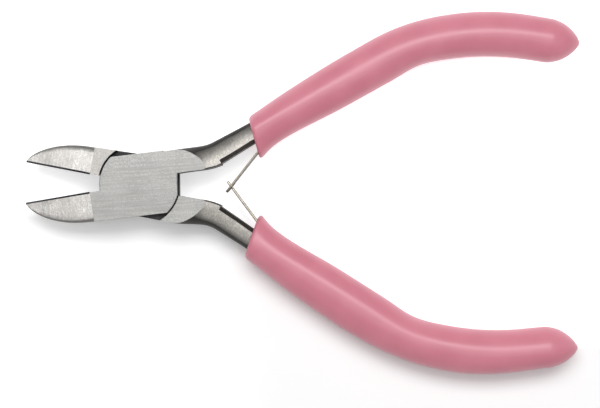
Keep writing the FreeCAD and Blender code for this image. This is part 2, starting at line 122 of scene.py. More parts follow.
class SleeveSettings(bpy.types.PropertyGroup):
    vinyl: colour("Vinyl", "Colour of the moulded sleeves", (0.61, 0.2, 0.262))
    gloss: share("Roughness", "Roughness of the vinyl skin", 0.3)
    mouth: length("Mouth", "Where the mouth lies along the handle", 16.4 * MM)
    mouth_tilt: angle("Mouth tilt", "The mouth is cut nearly square to the tool, not to the tang", 14.0)
    slant_fade: bpy.props.FloatProperty(
        name="Slant fade", description="Millimetres until rings stand square", default=9.0
    )
    mouth_round: length("Mouth rounding", "Radius round the rim of the mouth", 0.9 * MM)
    wall: length("Wall", "Wall of the sleeve at its mouth", 0.6 * MM)
    pocket_end: length("Pocket end", "The wide mouth, with room for the leaf's foot, ends here", 26.0 * MM)
    bore_end: length("Bore end", "End of the bore for the tang", 76.4 * MM)
    end_lean: length("End lean", "The blunt end leans to the outside", 0.3 * MM)
    segments: bpy.props.IntProperty(name="Segments", description="Points round a ring", default=48)


class LeafSettings(bpy.types.PropertyGroup):
    steel: colour("Spring steel", "Plated spring strip", (0.2, 0.182, 0.155))
    crossing: bpy.props.FloatVectorProperty(
        name="Crossing", description="Where the two leaves hook together", size=3,
        default=(18.27 * MM, -0.26 * MM, 4.0 * MM), subtype="TRANSLATION", unit="LENGTH",
    )
    edge_round: length("Edge rounding", "Rolled edges of the strip", 0.13 * MM)
    cuts: bpy.props.IntProperty(
        name="Cuts", description="Divisions along an arm, so that it can bend", default=18
    )


class StageSettings(bpy.types.PropertyGroup):
    floor: colour("Floor", "Pale paper under the tool", (0.93, 0.93, 0.93))
    # Both glows are painted light: the paper itself emits, to lighten the tool's shadows, and most on the
    # open side between the jaws and between the handles.
    paper_painted_light: share("Glow", "Light that comes up through the paper", 0.14)
    open_painted_light: share("Open glow", "The same light between the jaws and between the handles", 0.5)
    distance: length("Camera distance", "Lens to mid-thickness of the box", 0.28)
    frame_width: length("Frame width", "Width that the camera sees at mid-thickness", 0.12)
    aim: bpy.props.FloatVectorProperty(
        name="Aim", description="Point under the lens", size=2, default=(32.05 * MM, -3.58 * MM),
        unit="LENGTH",
    )
    roll: angle("Roll", "Turn of the camera about its own axis", 0.75)


# ---- small tools ------------------------------------------------------------------------------

def shut(point, side):
    """A point or direction of the open tool, as it lies when its half is shut, with the handle at +Y."""
    settings = bpy.context.scene.pliers_steel
    turned = Matrix.Rotation(-settings.half_opening * side, 3, "Z") @ Vector(point)
    return Vector((turned.x, turned.y * side, turned.z))


def merged_copy(node):
    """A copy of a CAD node's mesh with its loose triangles joined."""
    bm = bmesh.new()
    bm.from_mesh(frame["nodes"][node].data)
    bmesh.ops.remove_doubles(bm, verts=bm.verts, dist=SAME_POINT)
    return bm


def finish_mesh(bm, name, materials):
    """A new object from the mesh being made, with its materials."""
    mesh = bpy.data.meshes.new(name)
    bm.to_mesh(mesh)
    bm.free()
    for material in materials:
        mesh.materials.append(material)
    piece = bpy.data.objects.new(name, mesh)
    bpy.context.scene.collection.objects.link(piece)
    return piece


# ---- finishes ---------------------------------------------------------------------------------

class Tree:
    """Places and joins the nodes of a material or of a group."""

    def __init__(self, tree):
        self.tree = tree

    def add(self, kind, settings=None, **inputs):
        node = self.tree.nodes.new(kind)
        for key, setting in (settings or {}).items():
            setattr(node, key, setting)
        for key, given in inputs.items():
            self.feed(node, key.replace("_", " "), given)
        return node

    def feed(self, node, key, given):
        socket = node.inputs[int(key)] if key.isdigit() else node.inputs[key]
        if isinstance(given, bpy.types.NodeSocket):
            self.tree.links.new(given, socket)
        else:
            socket.default_value = given

    def maths(self, operation, first, second=0.0, clamp=False):
        node = self.add("ShaderNodeMath", {"operation": operation, "use_clamp": clamp})
        self.feed(node, "0", first)
        self.feed(node, "1", second)
        return node.outputs[0]

    def span(self, given, low, high, new_low=0.0, new_high=1.0):
        node = self.add(
            "ShaderNodeMapRange", {"interpolation_type": "SMOOTHSTEP"}, Value=given,
            From_Min=low, From_Max=high, To_Min=new_low, To_Max=new_high,
        )
        return node.outputs["Result"]

    def mix(self, factor, first, second):
        node = self.add("ShaderNodeMix", {"data_type": "RGBA"})
        colours = [s for s in node.inputs if s.type == "RGBA"]
        for socket, given in zip([node.inputs[0]] + colours, (factor, first, second)):
            if isinstance(given, bpy.types.NodeSocket):
                self.tree.links.new(given, socket)
            elif socket.type == "RGBA":
                socket.default_value = (*given, 1.0)
            else:
                socket.default_value = given
        return [s for s in node.outputs if s.type == "RGBA"][0]

    def noise(self, where, scale, detail=2.0, rough=0.5, distortion=0.0):
        node = self.add(
            "ShaderNodeTexNoise", Vector=where, Scale=scale, Detail=detail, Roughness=rough,
            Distortion=distortion,
        )
        return node.outputs[0]

    def turned(self, where, turn):
        """The point, turned so that X runs along the lines."""
        node = self.add("ShaderNodeMapping", {"vector_type": "POINT"}, Vector=where)
        node.inputs["Rotation"].default_value = (0.0, 0.0, -turn)
        return node.outputs[0]

    def group(self, name, **inputs):
        """Outputs of a shared group, placed with its own values."""
        node = self.add("ShaderNodeGroup", {"node_tree": bpy.data.node_groups[name]}, **inputs)
        return node.outputs

    def bump(self, shader, height, strength, distance):
        node = self.add("ShaderNodeBump", Height=height)
        node.inputs["Strength"].default_value = strength
        node.inputs["Distance"].default_value = distance
        self.feed(shader, "Normal", node.outputs[0])

    def steepness(self, normal, level, steep):
        """0 where a face is level, 1 where it is steep. Both limits are the Z of its normal."""
        facing = self.add("ShaderNodeSeparateXYZ", Vector=normal).outputs[2]
        return self.span(self.maths("ABSOLUTE", facing), level, steep)


def new_group(name, inputs, outputs):
    """A shader node group with the named inputs and outputs."""
    tree = bpy.data.node_groups.new(name, "ShaderNodeTree")
    for label, kind, default in inputs:
        socket = tree.interface.new_socket(label, in_out="INPUT", socket_type=kind)
        if default is not None:
            socket.default_value = default
    for label, kind in outputs:
        tree.interface.new_socket(label, in_out="OUTPUT", socket_type=kind)
    made = Tree(tree)
    return made, made.add("NodeGroupInput").outputs, made.add("NodeGroupOutput").inputs


def stretched(made, where, along, across):
    """The point, drawn out along X, so that a noise on it becomes lines."""
    node = made.add("ShaderNodeCombineXYZ")
    parts = made.add("ShaderNodeSeparateXYZ", Vector=where).outputs
    made.feed(node, "X", made.maths("MULTIPLY", parts[0], along))
    made.feed(node, "Y", made.maths("MULTIPLY", parts[1], across))
    made.feed(node, "Z", made.maths("MULTIPLY", parts[2], across))
    return node.outputs[0]


def grinding_group():
    """Lines left by a grinding wheel or belt, along X of the vector it is given."""
    made, given, out = new_group(
        "Grinding Lines",
        [
            ("Vector", "NodeSocketVector", None),
            ("Along", "NodeSocketFloat", 400.0),
            ("Across", "NodeSocketFloat", 9000.0),
            ("Broad", "NodeSocketFloat", 0.3),
        ],
        [("Lines", "NodeSocketFloat"), ("Height", "NodeSocketFloat")],
    )
    point = stretched(made, given["Vector"], given["Along"], given["Across"])
    fine = made.noise(point, 1.0, 3.0, 0.65, 0.2)
    broad = made.noise(point, 0.13, 2.0, 0.5, 0.1)
    joined = made.add("ShaderNodeMix", {"data_type": "FLOAT"})
    made.tree.links.new(given["Broad"], joined.inputs[0])
    made.tree.links.new(fine, joined.inputs[2])
    made.tree.links.new(broad, joined.inputs[3])
    lines = made.span(joined.outputs[0], 0.28, 0.72)
    made.tree.links.new(lines, out["Lines"])
    made.tree.links.new(fine, out["Height"])


def speckle_group():
    """Sparse pits and bright grains, as on steel that was ground and tumbled."""
    made, given, out = new_group(
        "Steel Speckle",
        [("Vector", "NodeSocketVector", None), ("Size", "NodeSocketFloat", 5000.0)],
        [("Speckle", "NodeSocketFloat"), ("Pits", "NodeSocketFloat"), ("Clouds", "NodeSocketFloat")],
    )
    grain = made.noise(given["Vector"], given["Size"], 2.0, 0.7)
    coarse = made.noise(given["Vector"], made.maths("MULTIPLY", given["Size"], 0.3), 2.0, 0.5)
    clouds = made.noise(given["Vector"], made.maths("MULTIPLY", given["Size"], 0.05), 3.0, 0.55)
    made.tree.links.new(made.span(grain, 0.36, 0.64), out["Speckle"])
    made.tree.links.new(made.span(coarse, 0.68, 0.8), out["Pits"])
    made.tree.links.new(made.span(clouds, 0.3, 0.7), out["Clouds"])


def material(name):
    """A new material, its node tree and its shader."""
    made = bpy.data.materials.new(name)
    made.use_nodes = True
    tree = Tree(made.node_tree)
    shader = next(n for n in made.node_tree.nodes if n.type == "BSDF_PRINCIPLED")
    return made, tree, shader


def scaled(tone, by):
    """A lighter or darker tone of the same colour."""
    return tuple(min(1.0, c * by) for c in tone)


def ground_steel(name, tone, turn, along, across, broad, contrast, rough, steep_shade=None):
    """Ground steel. turn is the direction of its lines; the last argument, if given, is the tone of the
    painted shade it falls to on steep sides.
    """
    made, tree, shader = material(name)
    where = tree.add("ShaderNodeTexCoord").outputs
    lines = tree.group(
        "Grinding Lines", Vector=tree.turned(where["Object"], turn), Along=along, Across=across, Broad=broad
    )
    speckle = tree.group("Steel Speckle", Vector=where["Object"], Size=3600.0)
    base = tree.mix(lines["Lines"], scaled(tone, 1.0 - contrast), scaled(tone, 1.0 + contrast))
    for mark, amount, change in (("Speckle", 0.85, 0.66), ("Pits", 0.35, 0.45), ("Clouds", 0.3, 1.12)):
        base = tree.mix(tree.maths("MULTIPLY", speckle[mark], amount), base, scaled(tone, change))
    # Painted shade: the steeper the face, the more it falls to the darker tone, with the grinding lines
    # showing through; on the tangs this also stands in part for their darker unground skin.
    if steep_shade:
        steep = tree.steepness(where["Normal"], 0.985, 0.5)
        streaks = tree.maths("ADD", tree.maths("MULTIPLY", lines["Lines"], 0.25), 1.3)
        base = tree.mix(tree.maths("MULTIPLY", steep, streaks, clamp=True), base, steep_shade)
    tree.feed(shader, "Base Color", base)
    shader.inputs["Metallic"].default_value = 1.0
    tree.feed(
        shader, "Roughness",
        tree.maths("ADD", tree.maths("MULTIPLY", lines["Lines"], 0.12), rough, clamp=True),
    )
    tree.bump(shader, lines["Height"], 0.25, 0.01 * MM)
    return made


def forging_scale(tone):
    """Dark forging skin with faint streaks, in the joint and along the milled seats."""
    made, tree, shader = material("Forging Scale")
    where = tree.add("ShaderNodeTexCoord").outputs["Object"]
    speckle = tree.group("Steel Speckle", Vector=where, Size=3000.0)
    lines = tree.group("Grinding Lines", Vector=where, Along=500.0, Across=3500.0, Broad=0.5)
    base = tree.mix(speckle["Clouds"], tone, scaled(tone, 1.9))
    base = tree.mix(tree.maths("MULTIPLY", lines["Lines"], 0.5), base, scaled(tone, 2.6))
    base = tree.mix(tree.maths("MULTIPLY", speckle["Pits"], 0.6), base, scaled(tone, 0.4))
    tree.feed(shader, "Base Color", base)
    shader.inputs["Metallic"].default_value = 0.35
    tree.feed(shader, "Roughness", tree.span(speckle["Speckle"], 0.0, 1.0, 0.42, 0.62))
    tree.bump(shader, speckle["Speckle"], 0.3, 0.02 * MM)
    return made


def spring_steel(name, tone, turn):
    """Plated strip, drawn lengthwise, with a yellowish cast that comes and goes and painted shade on its
    rolled edges.
    """
    made, tree, shader = material(name)
    where = tree.add("ShaderNodeTexCoord").outputs
    lines = tree.group(
        "Grinding Lines", Vector=tree.turned(where["Object"], turn), Along=250.0, Across=9000.0, Broad=0.4
    )
    speckle = tree.group("Steel Speckle", Vector=where["Object"], Size=4000.0)
    yellowish = (tone[0], tone[1] * 0.93, tone[2] * 0.8)
    base = tree.mix(lines["Lines"], scaled(tone, 0.85), scaled(tone, 1.12))
    base = tree.mix(tree.maths("MULTIPLY", speckle["Clouds"], 0.5), base, yellowish)
    # Painted shade: faces steeper than the flat of the strip fall almost to black.
    base = tree.mix(tree.steepness(where["Normal"], 0.985, 0.96), base, scaled(tone, 0.12))
    base = tree.mix(tree.maths("MULTIPLY", speckle["Pits"], 0.3), base, scaled(tone, 0.4))
    tree.feed(shader, "Base Color", base)
    shader.inputs["Metallic"].default_value = 1.0
    tree.feed(shader, "Roughness", tree.span(lines["Lines"], 0.0, 1.0, 0.24, 0.38))
    tree.bump(shader, lines["Height"], 0.2, 0.01 * MM)
    return made


def sleeve_vinyl(settings):
    """Dipped and polished vinyl: faint clouds in the colour and the gloss, and a very fine peel."""
    made, tree, shader = material("Pink Vinyl")
    where = tree.add("ShaderNodeTexCoord").outputs["Object"]
    tone = tuple(settings.vinyl)
    clouds = tree.span(tree.noise(where, 160.0, 2.0, 0.5), 0.2, 0.8)
    fine = tree.noise(where, 2600.0, 1.0, 0.5)
    base = tree.mix(clouds, scaled(tone, 0.94), (tone[0] * 1.05, tone[1] * 1.12, tone[2] * 1.09))
    base = tree.mix(tree.maths("MULTIPLY", fine, 0.3), base, scaled(tone, 1.1))
    tree.feed(shader, "Base Color", base)
    tree.feed(
        shader, "Roughness", tree.maths("ADD", tree.maths("MULTIPLY", clouds, 0.06), settings.gloss)
    )
    shader.inputs["IOR"].default_value = 1.47
    tree.bump(shader, fine, 0.1, 0.01 * MM)
    return made


def shared_groups():
    """The node groups are built once, by whichever operator needs them first."""
    if "Grinding Lines" not in bpy.data.node_groups:
        grinding_group()
        speckle_group()


# ---- forged halves ----------------------------------------------------------------------------

PLATE, JAW, TANG, SCALE, HEEL = range(5)

ON_THE_FLAT = 0.01 * MM     # a level face within this of the ground flat is part of it
RIM_DEPTH = 0.2 * MM        # the broken rim of a shoulder reaches this deep
TANG_LEAD = 3.4 * MM        # the tang's surfaces start this far before the tang itself
SLOT_DEPTH = 3.0 * MM       # level faces within this of mid-thickness are inside the joint
SHOULDER = 8.8 * MM         # the round shoulders lie within this of the pivot
OUTER_SIDE = 5.0 * MM       # outer sides of the box lie further than this from its middle
JAW_LINES = math.radians(86)        # direction of the grinding, from the length of the half
TANG_LINES = math.radians(105)


def finish_of(centre, normal, side, steel):
    """Which finish a face of a half has, from where it lies and which way it looks on the shut half."""
    at = shut(centre, side)
    looks = shut(normal, side)
    height = abs(at.z - steel.thickness / 2)
    depth = steel.thickness / 2 - height
    from_pivot = math.hypot(at.x, at.y)
    beside_box = side == LOWER and at.x < 0
    if depth < ON_THE_FLAT and abs(looks.z) > 0.999:
        return HEEL if beside_box else PLATE
    if at.x < -steel.facet + 0.02 * MM:
        return SCALE if looks.y > 0.2 else JAW
    broken_rim = steel.rim_inside < from_pivot < steel.rim_outside and 0.4 < abs(looks.z) < 0.9
    if broken_rim and depth < RIM_DEPTH:
        return SCALE if beside_box else PLATE
    if at.x > steel.tang_start - TANG_LEAD and at.y > 0:
        in_slot = height < SLOT_DEPTH and from_pivot < 9 * MM and abs(looks.z) > 0.99
        if looks.y < -0.85 or in_slot:
            return SCALE
        return SCALE if from_pivot < SHOULDER and looks.x < -0.5 else TANG
    return TANG if abs(looks.y) > 0.9 and abs(at.y) > OUTER_SIDE and height > 0 else SCALE


def forged_half(node, piece_name, side, finishes):
    """One half, with a finish for each face. Round faces are shaded round and ground flats stay flat."""
    steel = bpy.context.scene.pliers_steel
    bm = merged_copy(node)
    bmesh.ops.dissolve_limit(
        bm, angle_limit=math.radians(0.2), verts=bm.verts, edges=bm.edges, delimit=set()
    )
    bmesh.ops.triangulate(bm, faces=[f for f in bm.faces if len(f.verts) > 4])
    for face in bm.faces:
        face.material_index = finish_of(face.calc_center_median(), face.normal, side, steel)
        face.smooth = True
    for edge in bm.edges:
        if not edge.is_manifold:
            continue
        first, second = edge.link_faces
        bend = edge.calc_face_angle(0.0)
        flat = max(abs(first.normal.z), abs(second.normal.z)) > 0.99999
        edge.smooth = bend < (math.radians(0.5) if flat else math.radians(22))
    piece = finish_mesh(bm, piece_name, finishes)
    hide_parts(node)
    return piece


class PLIERS_OT_forged_halves(bpy.types.Operator):
    """Finishes the forged halves: box flats, tapered jaws, tangs and the dark skin inside the joint"""

    bl_idname = "pliers.forged_halves"
    bl_label = "Forged Halves"

    def execute(self, context):
        shared_groups()
        steel = context.scene.pliers_steel
        for name, node, body, side in (
            ("Box_Half", "box_half", "upper_handle", UPPER),
            ("Inner_Half", "inner_half", "lower_handle", LOWER),
        ):
            turn = steel.half_opening * side
            plate_turn = steel.half_opening * 0.5
            finishes = [
                ground_steel(
                    name + " Flat", tuple(steel.plate), plate_turn, 130.0, 2600.0, 0.4, 0.37, 0.4
                ),
                ground_steel(
                    name + " Jaw", tuple(steel.jaw), turn + JAW_LINES, 700.0, 2700.0, 0.35, 0.36, 0.46,
                    # painted shade on the rounded edges of the jaws
                    scaled(steel.jaw, 0.22),
                ),
                ground_steel(
                    name + " Tang", tuple(steel.tang), turn + side * TANG_LINES, 1100.0, 2700.0, 0.3, 0.4,
                    # roughness, then painted shade on the steep sides of the tangs, in part also their
                    # darker unground skin
                    0.5, scaled(steel.tang, 0.1),
                ),
                bpy.data.materials.get("Forging Scale") or forging_scale(tuple(steel.scale)),
                ground_steel(
                    name + " Heel", tuple(steel.heel), turn + JAW_LINES, 700.0, 2700.0, 0.4, 0.36, 0.46
                ),
            ]
            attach(forged_half(node, name, side, finishes), body)
        rivet = frame["nodes"]["pivot_rivet"]
        rivet.data.materials.clear()
        rivet.data.materials.append(bpy.data.materials["Box_Half Flat"])
        return {"FINISHED"}


# ---- leaf springs and their screws ------------------------------------------------------------


class PLIERS_OT_leaf_springs(bpy.types.Operator):
    """Makes the two hooked leaf springs, cut into divisions along their arms, and finishes their screws"""

    bl_idname = "pliers.leaf_springs"
    bl_label = "Leaf Springs"

    def execute(self, context):
        shared_groups()
        leaves = context.scene.pliers_leaf
        steel = tuple(leaves.steel)
        crossing = Vector(leaves.crossing)
        bends = {j["child"]: Vector(j["pos_m"]) for j in frame["joints"]}
        for name, node, body, handle in (
            ("Upper_Leaf", "upper_leaf_spring", "upper_leaf", "upper_handle"),
            ("Lower_Leaf", "lower_leaf_spring", "lower_leaf", "lower_handle"),
        ):
            bend = bends[body]
            way = (crossing - bend).normalized()
            reach = (crossing - bend).length
            bm = merged_copy(node)
            bmesh.ops.dissolve_limit(
                bm, angle_limit=math.radians(1.0), verts=bm.verts, edges=bm.edges, delimit=set()
            )
            sharp = [e for e in bm.edges if e.is_manifold and e.calc_face_angle(0.0) > math.radians(40)]
            bmesh.ops.bevel(
                bm, geom=sharp, offset=leaves.edge_round, offset_type="OFFSET", segments=2, profile=0.5,
                affect="EDGES", material=-1, clamp_overlap=True,
            )
            for k in range(leaves.cuts):
                along = reach * (0.02 + 0.95 * k / (leaves.cuts - 1))
                bmesh.ops.bisect_plane(
                    bm, geom=bm.verts[:] + bm.edges[:] + bm.faces[:], dist=SAME_POINT,
                    plane_co=bend + way * along, plane_no=way,
                )
            for face in bm.faces:
                face.smooth = True
            for edge in bm.edges:
                if edge.is_manifold:
                    edge.smooth = edge.calc_face_angle(0.0) < math.radians(30)
            turn = math.atan2(way.y, way.x)
            piece = finish_mesh(bm, name, [spring_steel(name + " Steel", steel, turn)])
            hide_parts(node)
            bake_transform(piece)
        for node in ("upper_spring_screw", "lower_spring_screw"):
            screw = frame["nodes"][node]
            screw.data.materials.clear()
            screw.data.materials.append(
                bpy.data.materials.get("Screw Steel") or spring_steel("Screw Steel", scaled(steel, 0.8), 0.0)
            )
        return {"FINISHED"}


# ---- sleeves ----------------------------------------------------------------------------------

def knot_slope(knots, k):
    """Slope of the curve at a knot. It is level at the ends and where the values turn back."""
    if k == 0 or k == len(knots) - 1:
        return 0.0
    (s0, v0), (s1, v1), (s2, v2) = knots[k - 1 : k + 2]
    before = (v1 - v0) / (s1 - s0)
    after = (v2 - v1) / (s2 - s1)
    if before * after <= 0:
        return 0.0
    return 2 * before * after / (before + after)


def value(knots, at):
    """Smooth value through (station, value) knots, constant beyond the first and last."""
    if at <= knots[0][0]:
        return knots[0][1]
    for k in range(len(knots) - 1):
        (s0, v0), (s1, v1) = knots[k : k + 2]
        if at <= s1:
            span = s1 - s0
            t = (at - s0) / span
            u = 1 - t
            ends = v0 * u * u * (1 + 2 * t) + v1 * t * t * (1 + 2 * u)
            return ends + span * t * u * (knot_slope(knots, k) * u - knot_slope(knots, k + 1) * t)
    return knots[-1][1]


# Reach from the centre line, in the plane of the tool: (distance along the handle, reach), millimetres.
UPPER_SLEEVE_OUTER = [(12.0, 2.9), (17.0, 3.15), (27.0, 4.0), (40.0, 4.55), (65.0, 4.65), (82.0, 4.35)]
LOWER_SLEEVE_OUTER = [
    (12.0, 3.7), (18.0, 3.85), (29.0, 4.8), (41.0, 5.2), (53.0, 4.75), (63.0, 4.75), (82.0, 3.8),
]
SLEEVE_INNER = [
    (12.0, 6.2), (15.3, 5.45), (19.0, 4.35), (23.0, 4.12), (35.0, 4.55), (46.0, 4.6), (53.5, 4.03),
    (62.0, 4.3), (82.0, 4.5),
]
TANG_OUTER = [(17.0, 2.15), (40.0, 2.5), (76.0, 2.1)]
TANG_INNER = [(15.5, 2.2), (40.0, 2.2), (76.0, 1.9)]
# The same, up from the centre line.
SLEEVE_HALF = [(12.0, 3.8), (17.0, 3.9), (27.0, 4.2), (60.0, 4.3), (82.0, 4.1)]
TANG_CROWN = [(16.0, 3.15), (40.0, 2.8), (76.0, 2.4)]
# The blunt end: (distance past the last ring of the skin in millimetres, share of that ring's size).
SLEEVE_END = [(0.0, 1.0), (1.5, 0.93), (2.7, 0.83), (3.8, 0.68), (4.8, 0.49), (5.6, 0.29), (6.1, 0.12)]

END_RINGS = 18
CAP_SHARE = 0.4             # the cap at the tip is this share of the last ring
CAP_HALF = 4.1
CAP_STEP = 0.03
SKIN_SPACING = 1.3          # millimetres between the rings of the skin
MOUTH_RINGS = 8
POCKET_STATIONS = (0.08, 0.5, 1.0, 1.6, 3.0, 4.6, 6.2, 7.8)     # millimetres in from the mouth
BORE_RINGS = 18
BORE_STEP = 0.3             # the pocket narrows to the bore over this, in millimetres
BORE_SQUARE = 1.3           # flattens the sides of the bore
POCKET_SQUARE = 1.06

HANDLE_START = (8.0, 3.3, 0.0)      # millimetres, on the shut half
HANDLE_LEAD = 5.4
BEND_RADIUS = 10.0
RISE = 36.9
SHOULDER_RADIUS, SHOULDER_TURN = 38.0, -18.0
PALM_RADIUS, PALM_TURN = 55.0, -20.0
HANDLE_TAIL = 16.0


class HandleLine:
    """Centre line of a handle: straight runs and arcs, (length, turn in degrees), followed by distance."""

    def __init__(self, start, runs):
        self.start = start
        self.runs = runs

    @classmethod
    def of_handle(cls, bend):
        """The line of a handle that turns away from the box by bend degrees and then curves back."""
        runs = [(HANDLE_LEAD, 0.0), (BEND_RADIUS * math.radians(bend), bend), (RISE, 0.0)]
        for radius, turn in ((SHOULDER_RADIUS, SHOULDER_TURN), (PALM_RADIUS, PALM_TURN)):
            runs.append((radius * math.radians(-turn), turn))
        return cls(HANDLE_START, runs + [(HANDLE_TAIL, 0.0)])

    def at(self, station):
        """Where the line is at a station, and the way it runs there."""
        point = Vector(self.start)
        heading = 0.0
        for k, (run, degrees) in enumerate(self.runs):
            last = k == len(self.runs) - 1
            go = station if last else min(run, station)
            turn = math.radians(degrees) * go / run
            chord = go * (math.sin(turn / 2) / (turn / 2) if turn else 1.0)
            way = heading + turn / 2
            point += chord * Vector((math.cos(way), math.sin(way), 0))
            heading += turn
            station -= go
            if station <= 0:
                break
        return point, Vector((math.cos(heading), math.sin(heading), 0))


class Sleeve:
    """Rings of a sleeve, bridged one to the next, from the blunt end to the mouth and on into the bore."""

    def __init__(self, line, outer, settings):
        self.bm = bmesh.new()
        self.line = line
        self.outer = outer
        self.settings = settings
        self.last = None

    def slant(self, station):
        """The mouth is cut at a slant, which fades out along the sleeve."""
        fade = max(0.0, 1.0 - (station - self.settings.mouth / MM) / self.settings.slant_fade)
        return math.tan(self.settings.mouth_tilt) * fade * fade * (3 - 2 * fade)

    def ring(self, station, outer, inner, tall, lean=0.0, square=1.0):
        """One ring, with its own reach outwards, inwards and up. square over 1 flattens its sides."""
        slant = self.slant(station)
        verts = bmesh.ops.create_circle(self.bm, segments=self.settings.segments, radius=1.0)["verts"]
        edges = list({e for v in verts for e in v.link_edges})
        for v in verts:
            x = max(-1.0, min(1.0, v.co.x * square))
            v.co = (x * (outer if x > 0 else inner), max(-1.0, min(1.0, v.co.y * square)) * tall, 0.0)
        point, way = self.line.at(station)
        outwards = Vector((-way.y, way.x, 0))
        origin = point + outwards * lean
        across = outwards + way * slant
        place = Matrix((across, UP, way)).transposed().to_4x4()
        place.translation = origin
        bmesh.ops.transform(self.bm, matrix=place, verts=verts)
        if self.last:
            bmesh.ops.bridge_loops(self.bm, edges=self.last + edges)
        else:
            bmesh.ops.contextual_create(self.bm, geom=edges)
        self.last = edges

    def skin(self, station, inset=0.0, tall_inset=None, inner_inset=None):
        """A ring of the outer skin, or one let in from it."""
        slant = self.slant(station)
        outer = value(self.outer, station)
        inner = value(SLEEVE_INNER, station)
        outer = value(self.outer, station + outer * slant)
        inner = value(SLEEVE_INNER, station - inner * slant)
        tall = value(SLEEVE_HALF, station) - (inset if tall_inset is None else tall_inset)
        square = 1.0 if tall_inset is None else POCKET_SQUARE
        inner -= inset if inner_inset is None else inner_inset
        self.ring(station, outer - inset, inner, tall, 0.0, square)

    def close(self):
        bmesh.ops.contextual_create(self.bm, geom=self.last)


def moulded_sleeve(line, outer, run, inner_round, side, settings):
    """The mesh of a sleeve: blunt end, skin, rolled mouth, pocket and bore. run is its length."""
    mouth, mouth_round, wall, pocket_end, bore_end, end_lean = (
        size / MM for size in (
            settings.mouth, settings.mouth_round, settings.wall, settings.pocket_end, settings.bore_end,
            settings.end_lean,
        )
    )
    end = mouth + run
    widest = (value(outer, end), value(SLEEVE_INNER, end), value(SLEEVE_HALF, end))
    tip = SLEEVE_END[-1][0]
    made = Sleeve(line, outer, settings)
    made.ring(end + tip, *[value(SLEEVE_END, tip) * CAP_SHARE * v for v in (*widest[:2], CAP_HALF)])
    for k in range(END_RINGS):
        further = tip * (1.0 - (k / END_RINGS) ** 1.5)
        size = value(SLEEVE_END, further)
        station = end + further - (0.0 if k else CAP_STEP)
        made.ring(station, *[v * size for v in widest], end_lean * (1 - size))
    count = round(run / SKIN_SPACING)
    for k in range(count):
        made.skin(end - (run - mouth_round) * k / count)
    for k in range(MOUTH_RINGS):
        turn = math.radians(90 - 90 * k / (MOUTH_RINGS - 1))
        inset = 1 - math.sin(turn)
        made.skin(
            mouth + mouth_round * (1 - math.cos(turn)), mouth_round * 0.67 * inset, None, inner_round * inset
        )
    for station in (*POCKET_STATIONS, pocket_end - mouth):
        made.skin(mouth + station, wall, wall + 0.05, max(wall, inner_round * (1 - station / 2.2)))
    bore_start = pocket_end + BORE_STEP
    for k in range(BORE_RINGS):
        station = bore_start + (bore_end - pocket_end - BORE_STEP) * k / (BORE_RINGS - 1)
        reach = [value(knots, station) for knots in (TANG_OUTER, TANG_INNER, TANG_CROWN)]
        made.ring(station, *reach, 0, BORE_SQUARE)
    made.close()
    bm = made.bm
    steel = bpy.context.scene.pliers_steel
    lay = (
        Matrix.Translation((0, 0, steel.thickness / 2))
        @ Matrix.Rotation(steel.half_opening * side, 4, "Z")
        @ Matrix.Diagonal((MM, MM * side, MM, 1.0))
    )
    bmesh.ops.transform(bm, matrix=lay, verts=bm.verts)
    bmesh.ops.recalc_face_normals(bm, faces=bm.faces)
    for face in bm.faces:
        face.smooth = True
    return bm


class PLIERS_OT_sleeve_grips(bpy.types.Operator):
    """Moulds the two vinyl sleeves, with a rounded mouth, a bore for the tang and a blunt end"""

    bl_idname = "pliers.sleeve_grips"
    bl_label = "Sleeve Grips"

    def execute(self, context):
        settings = context.scene.pliers_sleeve
        vinyl = sleeve_vinyl(settings)
        for name, node, body, side, bend, outer, run, inner_round in (
            ("Upper_Sleeve", "upper_grip", "upper_handle", UPPER, 20.1, UPPER_SLEEVE_OUTER, 63.9, 0.8),
            ("Lower_Sleeve", "lower_grip", "lower_handle", LOWER, 21.9, LOWER_SLEEVE_OUTER, 65.15, 1.5),
        ):
            line = HandleLine.of_handle(bend)
            bm = moulded_sleeve(line, outer, run, inner_round, side, settings)
            piece = finish_mesh(bm, name, [vinyl])
            smooth = piece.modifiers.new("Smooth Skin", "SUBSURF")
            smooth.levels = smooth.render_levels = 1
            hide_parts(node)
            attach(piece, body)
        return {"FINISHED"}


# ---- stage ------------------------------------------------------------------------------------

LIGHT_AIM = (0.03, 0.0, 0.0)

# The paper glows brighter on the open side of this line, painted light that clears the shadows there: it
# falls with X, between two levels of Y.
OPEN_SLOPE, OPEN_START = -0.62, 0.0035
OPEN_HIGH, OPEN_LOW = -0.0055, -0.0315
OPEN_SOFT = 0.001


def area_light(name, place, size, power):
    """A rectangular lamp that looks at the middle of the tool."""
    data = bpy.data.lights.new(name, "AREA")
    data.shape = "RECTANGLE"
    data.size, data.size_y = size
    data.energy = power
    lamp = bpy.data.objects.new(name, data)
    lamp.location = place
    lamp.rotation_euler = (Vector(LIGHT_AIM) - Vector(place)).to_track_quat("-Z", "Y").to_euler()
    bpy.context.scene.collection.objects.link(lamp)
    return lamp


def gathered(name, objects):
    """A collection that says which objects a light falls on, or which ones shade it."""
    collection = bpy.data.collections.new(name)
    for thing in objects:
        collection.objects.link(thing)
    return collection


